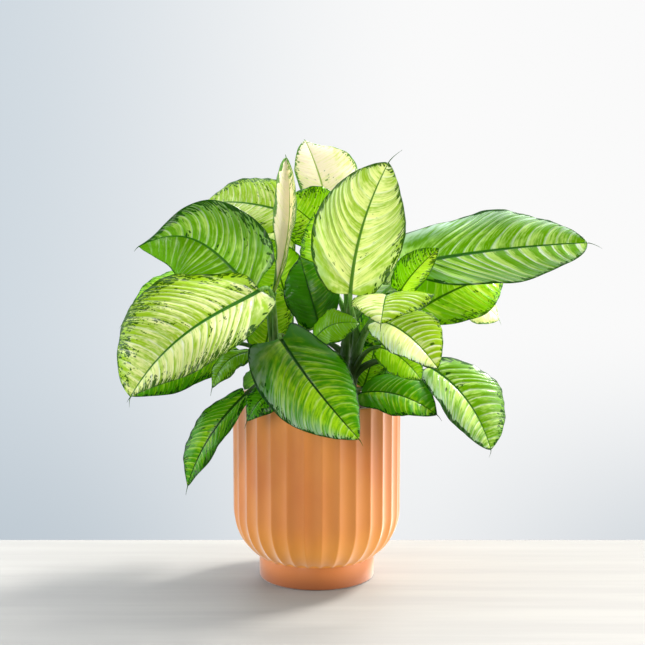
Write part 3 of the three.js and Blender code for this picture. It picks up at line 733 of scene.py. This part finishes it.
# How finely a blade is made, and its own relief
LEAN_POWER = 1.5
LEAN_START = 0.06
ROWS_PER_MM = 0.62
ROW_LIMITS = (64, 140)
COLUMNS_PER_MM = 0.27
COLUMN_LIMITS = (10, 20)
LAMINA_THICKNESS = 0.55
EDGE_THICKNESS = 0.25
RIB_BASE = 2.5
RIB_TIP = 0.35
RIB_LEAST = 0.3
RIB_RELIEF = 1.7
RIB_RELIEF_END = 1.1
TYPICAL_LENGTH = 200
VEIN_WAVES = ((0.22, 1.7), (0.12, 4.3))
VEIN_STAGGER = 0.45
GROOVE_DEPTH = 0.7
QUILT_HEIGHT = 1.7
QUILT_SHARPNESS = 0.75
QUILT_MEAN = 0.6
QUILT_ROOM = (8, 34)
UNEVENNESS = 0.009
FRILL = 0.5
FRILLS = 8.5
FRILL_ROOM = (8, 20)
TAIL_ROWS = 8
TAIL_TAPER = 0.75
TAIL_THICKNESS = 0.1
LEAF_SHIFT = (370, 530)


def blade_rows(count):
    return (1 - np.cos(np.pi * np.arange(count + 1) / count)) / 2


def blade_columns(count):
    half = blade_rows(count)
    return np.concatenate([-half[:0:-1], half])


def vein_phase(leaf, w, side, random):
    """Counts the lateral veins from the base, unevenly spaced, those of the two halves taking turns."""
    starts = random.uniform(0, 2 * np.pi, len(VEIN_WAVES))
    uneven = sum(size * np.sin(2 * np.pi * often * w + start)
                 for (size, often), start in zip(VEIN_WAVES, starts))
    return leaf["veins"] * w + uneven + VEIN_STAGGER * side


def relief(leaf, u, v, phase, half, random):
    """How far the blade stands off its smooth middle surface: quilted between veins, uneven as a whole."""
    across = np.abs(v)
    starts = random.uniform(0, 2 * np.pi, 4)
    pillow = np.abs(np.sin(np.pi * phase)) ** QUILT_SHARPNESS - QUILT_MEAN
    fade = smooth(across, 0.02, 0.2) * (1 - 0.85 * smooth(across, 0.7, 1)) * smooth(u, 0, 0.12)
    fade = fade * (1 - smooth(u, 0.82, 1)) * (0.75 + 0.35 * np.sin(5 * u + 3 * v + starts[3]))
    room = smooth(half, *QUILT_ROOM)
    length = np.linalg.norm(np.subtract(leaf["tip"], leaf["base"]))
    swell = np.sin(2 * np.pi * (1.4 * u + 0.35 * v) + starts[0])
    swell = swell + 0.7 * np.sin(2 * np.pi * (2.7 * u - 0.6 * v) + starts[1])
    frill = np.sin(2 * np.pi * FRILLS * u + 2 * v + starts[2]) * across ** 6 * smooth(half, *FRILL_ROOM)
    return (leaf["quilt"] * QUILT_HEIGHT * pillow * fade * room
            + UNEVENNESS * length * across ** 2 * swell * np.sin(np.pi * u) + FRILL * frill)


def tail_rows(leaf, axes, v, normal):
    """Middle line, breadth and thickness of the drip tip, which carries the blade's end on to a point."""
    share = (np.arange(TAIL_ROWS) + 1) / TAIL_ROWS
    one = np.ones(1)
    tip = midrib_point(leaf, axes, one)[0]
    direction = midrib_direction(leaf, axes, one)[0]
    right = np.cross(direction, normal)
    middle = (tip + direction * leaf["tail"] * share[:, None]
              + np.array(leaf["hook"], float) * (share ** 2)[:, None])
    breadth = TIP_HALF_WIDTH * (1 - TAIL_TAPER * share)
    points = middle[:, None, :] + right * (breadth[:, None] * v[None, :])[..., None]
    return points, breadth


def blade(name, leaf, seed, material):
    """A thin closed blade whose rows follow its veins, with the midrib sunk above and raised below."""
    random = np.random.default_rng(seed)
    axes = blade_axes(leaf)
    row_count = int(np.clip(axes[1] * ROWS_PER_MM, *ROW_LIMITS))
    column_count = int(np.clip(max(leaf["halves"]) * COLUMNS_PER_MM, *COLUMN_LIMITS))
    w, v = np.meshgrid(blade_rows(row_count), blade_columns(column_count), indexing="ij")
    across = np.abs(v)
    side = (v >= 0).astype(int)
    u = w + leaf["lean"] * across ** LEAN_POWER * (1 - w) * (1 - np.exp(-w / LEAN_START))
    half = half_width(leaf, u, side)
    phase = vein_phase(leaf, w, side, random)
    offset = half * across
    rib = (RIB_BASE * (1 - u) + RIB_TIP) * axes[1] / TYPICAL_LENGTH + RIB_LEAST
    near_rib = np.exp(-(offset / rib) ** 2)

    normal = blade_normal(leaf, axes, u, v)
    middle = blade_point(leaf, axes, u, v) + normal * relief(leaf, u, v, phase, half, random)[..., None]
    thick = mixed(LAMINA_THICKNESS, EDGE_THICKNESS, smooth(across, 0.8, 1)) / 2
    groove = GROOVE_DEPTH * near_rib * (1 - u)
    ridge = RIB_RELIEF * near_rib * (RIB_RELIEF_END - u)
    top = middle + normal * (thick - groove)[..., None]
    under = middle - normal * (thick + ridge)[..., None]

    line = v[0]
    centre = column_count
    tail, breadth = tail_rows(leaf, axes, line, normal[-1, centre])
    tail_thick = (mixed(EDGE_THICKNESS, TAIL_THICKNESS, np.linspace(0, 1, TAIL_ROWS)) / 2)[:, None, None]
    top = np.concatenate([top, tail + normal[-1, centre] * tail_thick])
    under = np.concatenate([under, tail - normal[-1, centre] * tail_thick])

    def with_tail(grid, value):
        return np.concatenate([grid, np.full((TAIL_ROWS, grid.shape[1]), value)])

    offset = with_tail(offset, 0.0)
    signed = offset * np.concatenate([np.where(side == 0, -1, 1), np.ones((TAIL_ROWS, v.shape[1]))])
    edge = with_tail(half * (1 - across), 0.0)
    rib_share = with_tail(half * across / rib, 3.0)
    border = with_tail(np.take(leaf["border"], side), 2.0)
    # Painted shade, going from the base's amount to the tip's
    shade = with_tail(mixed(*leaf["shade"], smooth(u, 0.1, 0.8)), leaf["shade"][1])
    pale, flecks, banding, lines, bloom = (
        with_tail(np.take(leaf[look], side), leaf[look][0])
        for look in ("pale", "flecks", "banding", "lines", "bloom"))
    shift, rise = (distance * seed for distance in LEAF_SHIFT)
    marks = {
        "place": (signed + shift, with_tail(w, 1.0) * axes[1] + rise, np.full(edge.shape, float(seed))),
        "lines": (with_tail(phase, 0.5), with_tail(across, 1.0), border),
        "marks": (edge, rib_share, np.zeros_like(edge)),
        "tone": (pale, flecks, shade),
        "habit": (banding, lines, bloom),
    }
    marks = {mark: np.tile(np.stack(grids, -1).reshape(-1, 3), (2, 1)) for mark, grids in marks.items()}
    marks["marks"][edge.size:, 2] = 1
    points = np.concatenate([top.reshape(-1, 3), under.reshape(-1, 3)])
    return piece(name, points, slab_faces(*edge.shape), material, marks)


# Canes and leaf stalks

CANE_STEP = 1.6
CANE_SIDES = 22
SCAR_SPACING = 15
SCAR_RISE = 0.07
SCAR_WIDTH = 1.6
STALK_SIDES = 16
STALK_STEPS = 34
SHEATH_END = 0.55
SHEATH_SPREAD = 0.3
GROOVE_SHARE = 0.4
GROOVE_ANGLE = 0.5
CURVE_SAMPLES = 200


def along_path(path):
    """Distance along a row of points, at each of them."""
    steps = np.linalg.norm(np.diff(path, axis=0), axis=1)
    return np.concatenate([[0], np.cumsum(steps)])


def resampled(path, distances):
    travelled = along_path(path)
    return np.stack([np.interp(distances, travelled, path[:, axis]) for axis in range(3)], -1)


def cane_path(stem):
    """A cane's line: straight up out of the soil, then leaning to its top, as a centripetal spline."""
    x, y = stem["foot"]
    heights = (SOIL_TOP - ROOT_DEPTH, SOIL_TOP - ROOT_DEPTH / 2, SOIL_TOP + SOIL_CROWN)
    knots = [np.array([x, y, height], float) for height in heights] + [np.array(stem["top"], float)]
    knots = [2 * knots[0] - knots[1], *knots, 2 * knots[-1] - knots[-2]]
    path = []
    for a, b, c, d in zip(knots, knots[1:], knots[2:], knots[3:]):
        before, here, after = (np.linalg.norm(q - p) ** 0.5 for p, q in ((a, b), (b, c), (c, d)))
        leave = ((b - a) / before - (c - a) / (before + here) + (c - b) / here) * here
        arrive = ((c - b) / here - (d - b) / (here + after) + (d - c) / after) * here
        t = (np.arange(CURVE_SAMPLES) / CURVE_SAMPLES)[:, None]
        path.append(b + leave * t + (3 * (c - b) - 2 * leave - arrive) * t ** 2
                    + (2 * (b - c) + leave + arrive) * t ** 3)
    return np.concatenate([*path, knots[-2][None]])


def carried_frames(path, reference):
    """Unit tangents of a path, and two directions across it carried back along it from its end."""
    tangents = unit(np.gradient(path, axis=0))
    normal = reference - tangents[-1] * (tangents[-1] @ reference)
    normals = []
    for tangent in tangents[::-1]:
        normal = unit(normal - tangent * (tangent @ normal))
        normals.append(normal)
    normals = np.array(normals[::-1])
    return normals, np.cross(tangents, normals)


def swept(path, reference, radii):
    """Rings of points round a path, from a row of radii for each of its points."""
    normals, across = carried_frames(path, reference)
    angles = 2 * np.pi * np.arange(radii.shape[1]) / radii.shape[1]
    ring = normals[:, None] * np.cos(angles)[:, None] + across[:, None] * np.sin(angles)[:, None]
    return (path[:, None] + ring * radii[..., None]).reshape(-1, 3)


def stalk(leaf, cane):
    """A leaf's stalk: a grooved sheath low down, round above, which runs into the blade's midrib."""
    axes = blade_axes(leaf)
    length = along_path(cane)[-1]
    above = (STALK_FIRST_RISE + ROOT_DEPTH) / length
    share = min(above + (1 - above) * leaf["height"], HIGHEST_STALK)
    start, beyond = resampled(cane, [share * length, share * length + 0.5])
    start_before = resampled(cane, [share * length - 0.5])[0]
    up = unit(beyond - start_before)
    into = midrib_direction(leaf, axes, np.zeros(1))[0]
    end = axes[0] + into * 1.5
    reach = np.linalg.norm(end - start)
    t = np.linspace(0, 1, CURVE_SAMPLES)[:, None]
    first = start + up * reach * STALK_HANDLES[0]
    second = end - into * reach * STALK_HANDLES[1]
    curve = (1 - t) ** 3 * start + 3 * (1 - t) ** 2 * t * first + 3 * (1 - t) * t ** 2 * second + t ** 3 * end
    path = resampled(curve, np.linspace(0, along_path(curve)[-1], STALK_STEPS + 1))

    u = np.linspace(0, 1, STALK_STEPS + 1)[:, None]
    angles = 2 * np.pi * np.arange(STALK_SIDES) / STALK_SIDES
    turned = np.angle(np.exp(1j * angles))[None, :]
    radius = mixed(*leaf["stalk_radii"], np.minimum(STALK_TAPER * u, 1))
    sheath = 1 - smooth(u, 0.05, SHEATH_END)
    spread = 1 + SHEATH_SPREAD * sheath * np.sin(turned) ** 2
    groove = 1 - GROOVE_SHARE * (0.25 + 0.75 * sheath) * np.exp(-(turned / GROOVE_ANGLE) ** 2)
    return swept(path, axes[3], radius * spread * groove), STALK_STEPS + 1, STALK_SIDES


def cane(path):
    """A cane with the rings that fallen leaves have left on it."""
    distances = np.arange(0, along_path(path)[-1], CANE_STEP)
    share = (distances / along_path(path)[-1])[:, None]
    taper = np.maximum(share - CANE_TAPER_START, 0) / (1 - CANE_TAPER_START)
    radius = CANE_RADIUS * mixed(1, CANE_TOP_SHARE, taper)
    from_scar = (distances[:, None] + SCAR_SPACING / 2) % SCAR_SPACING - SCAR_SPACING / 2
    ring = 1 + SCAR_RISE * np.exp(-(from_scar / SCAR_WIDTH) ** 2)
    radii = np.repeat(radius * ring, CANE_SIDES, axis=1)
    return swept(resampled(path, distances), np.array([1.0, 0, 0]), radii), len(distances), CANE_SIDES


def stem(name, leaves, material):
    """A cane and the stalks of its leaves, in one piece."""
    path = cane_path(STEMS[name])
    bodies = [cane(path)] + [stalk(leaf, path) for leaf in leaves]
    points = []
    faces = []
    for body, rings, sides in bodies:
        faces += ring_faces(rings, sides, sum(len(p) for p in points))
        points.append(body)
    return piece("cane_" + name, np.concatenate(points), faces, material)


# Planter

FLUTE_COLUMNS = 18
ARRIS_ROUNDING = 0.2
ARRIS_WIDTH = 0.8
BOWL_LEVELS = 30
BOWL_CROWDING = 1.4
WALL_LEVELS = 12
ROUND_STEPS = 5
BASE_RECESS = 1.5
BASE_RECESS_RADIUS = 58
FLUTE_RUN_OUT = 3
FLOOR = 36
CAVITY_LEVELS = 8


def bowl_radius(height, inset=0):
    drop = (BOWL_TOP - height) / (BOWL_HALF_HEIGHT - inset)
    return BODY_RADIUS - BOWL_HALF_WIDTH + (BOWL_HALF_WIDTH - inset) * math.sqrt(1 - drop * drop)


def rounded(centre_radius, centre_height, radius, start, depth=0):
    """Radius, height and flute depth of the rings on a quarter round that starts at an angle in degrees."""
    turns = np.radians(np.linspace(start, start + 90, ROUND_STEPS + 1))
    return [(centre_radius + radius * math.cos(turn), centre_height + radius * math.sin(turn), depth)
            for turn in turns]


def planter_levels():
    """Radius, height and flute depth of each ring, from the middle of the underside to the inner floor."""
    levels = [(1, BASE_RECESS, 0), (BASE_RECESS_RADIUS, BASE_RECESS, 0), (BASE_RECESS_RADIUS + 1.5, 0, 0)]
    levels += rounded(FOOT_RADIUS - FOOT_ROUNDING, FOOT_ROUNDING, FOOT_ROUNDING, -90)
    levels += [(FOOT_RADIUS, FOOT_HEIGHT * 0.5, 0), (FOOT_RADIUS, FOOT_HEIGHT - 1.2, 0)]
    levels += [(FOOT_RADIUS - 0.3, FOOT_HEIGHT - 0.3, 0)]
    for step in range(BOWL_LEVELS + 1):
        rise = 1 - (1 - step / BOWL_LEVELS) ** BOWL_CROWDING
        height = mixed(FOOT_HEIGHT, BOWL_TOP, rise)
        depth = FLUTE_DEPTH * smooth(height, FOOT_HEIGHT - 1, FOOT_HEIGHT + FLUTE_RUN_OUT)
        levels.append((bowl_radius(height), height, depth))
    rim_start = RIM_HEIGHT - RIM_ROUNDING
    for step in range(1, WALL_LEVELS):
        levels.append((BODY_RADIUS, mixed(BOWL_TOP, rim_start, step / WALL_LEVELS), FLUTE_DEPTH))
    levels += rounded(BODY_RADIUS - RIM_ROUNDING, rim_start, RIM_ROUNDING, 0, FLUTE_DEPTH)
    inner = BODY_RADIUS - WALL
    levels += rounded(inner + RIM_ROUNDING, rim_start, RIM_ROUNDING, 90)
    levels.append((inner, BOWL_TOP, 0))
    for step in range(1, CAVITY_LEVELS + 1):
        height = mixed(BOWL_TOP, FLOOR, step / CAVITY_LEVELS)
        levels.append((bowl_radius(height, WALL), height, 0))
    levels.append((1, FLOOR, 0))
    return levels


def planter(material):
    columns = FLUTES * FLUTE_COLUMNS
    share = (np.arange(columns) % FLUTE_COLUMNS) / FLUTE_COLUMNS
    from_arris = np.abs(share - np.round(share)) * 2 * np.pi * BODY_RADIUS / FLUTES
    hollow = 4 * share * (1 - share)
    softened = hollow + ARRIS_ROUNDING / FLUTE_DEPTH * np.exp(-(from_arris / ARRIS_WIDTH) ** 2)
    angles = FIRST_ARRIS + 2 * np.pi * np.arange(columns) / columns
    rings = []
    for radius, height, depth in planter_levels():
        radii = radius - depth * softened
        rings.append(np.stack([radii * np.cos(angles), radii * np.sin(angles), np.full(columns, height)], -1))
    return piece("planter", np.concatenate(rings), ring_faces(len(rings), columns), material)


# Soil

SOIL_RINGS = 46
SOIL_SIDES = 150
SOIL_DEPTH = 30
SOIL_EDGE_DROP = 3
CRUMBS = 240
CRUMB_SIZES = (1.2, 4.2)
CRUMB_LEVELS = ((-0.525, 0.62), (0.245, 1.0), (0.56, 0.5))
CRUMB_SIDES = 6
SOIL_SEED = 5


def soil_height(x, y):
    """Height of the soil's uneven surface."""
    radius = np.hypot(x, y) / (BODY_RADIUS - WALL)
    clods = (np.sin(0.21 * x + 1.3) * np.sin(0.24 * y + 0.4) + 0.6 * np.sin(0.53 * x - 0.31 * y)
             + 0.5 * np.sin(0.39 * x + 0.61 * y + 2) + 0.35 * np.sin(1.1 * x + 0.7) * np.sin(1.2 * y + 1.9))
    return SOIL_TOP + SOIL_CROWN * (1 - radius) + 1.1 * clods - SOIL_EDGE_DROP * smooth(radius, 0.85, 1)


def soil(material):
    random = np.random.default_rng(SOIL_SEED)
    angles = 2 * np.pi * np.arange(SOIL_SIDES) / SOIL_SIDES
    radius = BODY_RADIUS - WALL - GAP
    bottom = np.full(SOIL_SIDES, SOIL_TOP - SOIL_DEPTH)
    rings = [np.stack([r * np.cos(angles), r * np.sin(angles), bottom], -1) for r in (1, radius)]
    for ring in range(SOIL_RINGS):
        r = radius * (1 - ring / SOIL_RINGS)
        x, y = r * np.cos(angles), r * np.sin(angles)
        rings.append(np.stack([x, y, soil_height(x, y)], -1))
    points = [np.concatenate(rings)]
    faces = ring_faces(len(rings), SOIL_SIDES)
    for _ in range(CRUMBS):
        away = radius * 0.95 * math.sqrt(random.uniform())
        turn = random.uniform(0, 2 * np.pi)
        x, y = away * math.cos(turn), away * math.sin(turn)
        size = random.uniform(*CRUMB_SIZES)
        shape, ends = crumb(np.array([x, y, soil_height(x, y) + 0.1 * size]), size, random)
        faces += [tuple(corner + sum(len(p) for p in points) for corner in face) for face in ends]
        points.append(shape)
    return piece("potting_soil", np.concatenate(points), faces, material)


def crumb(centre, size, random):
    """A small irregular lump of three rings of points."""
    points = []
    for height, breadth in CRUMB_LEVELS:
        for side in range(CRUMB_SIDES):
            angle = 2 * np.pi * (side + random.uniform(-0.2, 0.2)) / CRUMB_SIDES
            reach = size / 2 * breadth * random.uniform(0.75, 1.2)
            points.append(centre + [reach * math.cos(angle), reach * math.sin(angle), size / 2 * height])
    return np.array(points), ring_faces(len(CRUMB_LEVELS), CRUMB_SIDES)


# Floor, light and camera

FLOOR_BACK = 144
FLOOR_FRONT = -2600
FLOOR_SIDE = 2400
FLOOR_THICKNESS = 40


def floor_piece():
    sides = (-FLOOR_SIDE, FLOOR_SIDE)
    corners = [(x, FLOOR_FRONT) for x in sides] + [(x, FLOOR_BACK) for x in reversed(sides)]
    rings = [[(x, y, z) for x, y in corners] for z in (-FLOOR_THICKNESS, 0)]
    made = piece("floor", np.array(rings, float).reshape(-1, 3), ring_faces(2, 4), floor_material())
    for polygon in made.data.polygons:
        polygon.use_smooth = False


SKY_DIRECTION = (0.34, 0.62, 0.71)
SKY_BRIGHT = 2.6
ROOM_DIM = 0.14
ROOM_BRIGHT = 0.8
WALL_LEFT = 0xCDD7DF
WALL_RIGHT = 0xFAFAFA
WALL_LOW = 0xB4C0CA
SKY_TINTS = (0xDCE8F8, 0xFCFCFC)


def studio():
    """Light from the room, brightest above and behind to the right, and the pale wall behind the plant."""
    world = bpy.data.worlds.new("studio")
    bpy.context.scene.world = world
    g = Graph(world)
    way = g.node("ShaderNodeTexCoord", {}).outputs["Generated"]
    x, y, z = g.split(way)
    towards = g.node("ShaderNodeVectorMath", {0: way, 1: SKY_DIRECTION}, operation="DOT_PRODUCT")
    sky = g.ramp(towards.outputs["Value"], 0.4, 0.95, 0.0, SKY_BRIGHT)
    power = g.plus(g.ramp(y, -0.3, 0.6, ROOM_DIM, ROOM_BRIGHT), sky)
    room = g.node("ShaderNodeBackground", {0: g.tones(x, -0.6, 0.5, SKY_TINTS), 1: power}).outputs[0]

    wall = g.tones(x, -0.27, 0.09, (WALL_LEFT, WALL_RIGHT))
    aside = g.ramp(g.math("ABSOLUTE", g.minus(x, 0.03)), 0.0, 0.24, 0.3, 1.0)
    low = g.times(g.ramp(z, -0.33, -0.12, 0.75, 0.0), aside)
    seen = g.node("ShaderNodeBackground", {0: g.mix(low, wall, colour(WALL_LOW)), 1: 1.0}).outputs[0]
    by_eye = g.node("ShaderNodeLightPath", {}).outputs["Is Camera Ray"]
    g.finish(g.node("ShaderNodeMixShader", {0: by_eye, 1: room, 2: seen}).outputs[0])


# Lamps: where each is, its power and colour, and its size in metres or the sun's as an angle
LIGHT_AIM = (0, 0, 300)
LIGHTS = {
    "sun": dict(kind="SUN", place=(1136, 878, 1690), power=5.6, tint=0xFFFCF8, angle=math.radians(14)),
    "window": dict(place=(-1700, -100, 1000), power=38, tint=0xE8F0FA, size=1.4, size_y=1.8),
    "fill": dict(place=(-1250, -2500, 1100), power=33, tint=0xFFFAF4, size=1.0, size_y=1.2),
    "side": dict(place=(2600, -430, 880), power=71, tint=0xFFFCF8, size=1.4, size_y=1.7),
}


def light(name, place, power, tint, kind="AREA", **settings):
    data = bpy.data.lights.new(name, kind)
    data.energy = power
    data.color = colour(tint)[:3]
    if kind == "AREA":
        data.shape = "RECTANGLE"
    for key, value in settings.items():
        setattr(data, key, value)
    made = bpy.data.objects.new(name, data)
    made.location = Vector(place) * METRES
    direction = (Vector(LIGHT_AIM) - Vector(place)).normalized()
    made.rotation_euler = direction.to_track_quat("-Z", "Y").to_euler()
    bpy.context.scene.collection.objects.link(made)


def camera():
    data = bpy.data.cameras.new("camera")
    data.lens = CAMERA_LENS
    data.sensor_width = SENSOR_WIDTH
    made = bpy.data.objects.new("camera", data)
    made.location = Vector(CAMERA_PLACE) * METRES
    made.rotation_euler = (math.radians(90 - CAMERA_PITCH), 0, 0)
    bpy.context.scene.collection.objects.link(made)
    bpy.context.scene.camera = made


def dress(made, node):
    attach(made, "root")
    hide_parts(node)


camera()
for name, lamp in LIGHTS.items():
    light(name, **lamp)
studio()
floor_piece()
bpy.context.scene.view_settings.view_transform = "Standard"

dress(planter(terracotta_material()), "pot")
dress(soil(soil_material()), "soil")
green = stem_material()
for name in STEMS:
    leaves = [leaf for leaf in LEAVES.values() if leaf["stem"] == name]
    dress(stem(name, leaves, green), "stem_" + name)
paints = leaf_materials()
for seed, (name, leaf) in enumerate(LEAVES.items(), 1):
    made = blade("blade_" + name, leaf, seed, paints[leaf["colour"]])
    dress(made, "leaf_" + name)
